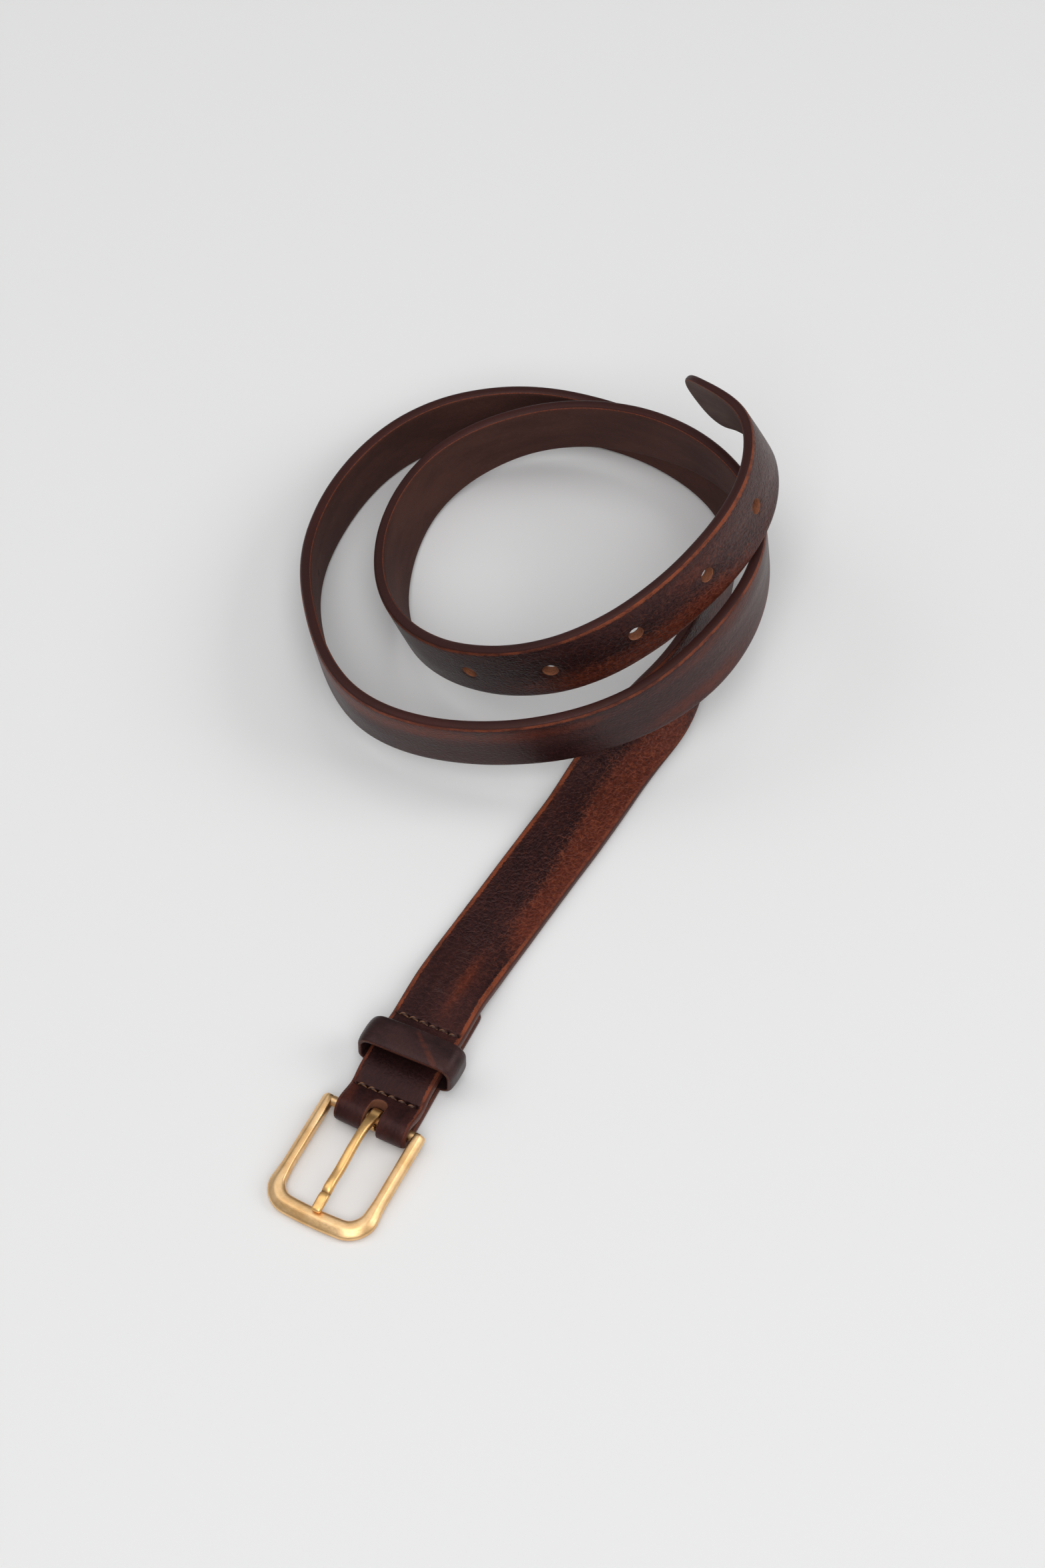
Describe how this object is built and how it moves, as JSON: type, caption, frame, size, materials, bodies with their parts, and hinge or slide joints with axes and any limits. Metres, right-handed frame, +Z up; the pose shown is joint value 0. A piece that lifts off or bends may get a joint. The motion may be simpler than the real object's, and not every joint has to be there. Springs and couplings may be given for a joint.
{
  "type": "leather belt",
  "caption": "Slim leather belt with a brass single-prong buckle and a leather keeper, lying in a loose rising coil.",
  "frame": {"origin": "centre of the buckle end's flat underside, midway between the two stitch rows, on the surface the belt lies on", "axes": "+Y along the buckle end, away from the buckle; +X across it; +Z up"},
  "size_m": [0.1408, 0.2878, 0.0721],
  "materials": {
    "dark_leather": "waxed pull-up leather, satin, with rust-coloured wear along the edges",
    "satin_brass": "solid brass, brushed satin",
    "waxed_thread": "waxed linen thread"
  },
  "bodies": {
    "strap": {"strap": "dark_leather", "stitch_row_front": "waxed_thread", "stitch_row_rear": "waxed_thread"},
    "buckle": {"buckle_frame": "satin_brass"},
    "prong": {"prong": "satin_brass"},
    "keeper": {"keeper": "dark_leather"}
  },
  "joints": [
    {"name": "buckle_swing", "type": "hinge", "parent": "strap", "child": "buckle", "pos_m": [0, -0.02, 0.00415], "axis": [-1, 0, 0], "range_deg": [-75, 20]},
    {"name": "prong_swing", "type": "hinge", "parent": "buckle", "child": "prong", "pos_m": [0, -0.02, 0.00415], "axis": [-1, 0, 0], "range_deg": [0, 60]},
    {"name": "keeper_slide", "type": "slide", "parent": "strap", "child": "keeper", "axis": [0, 1, 0], "range_m": [-0.003, 0.001]}
  ]
}
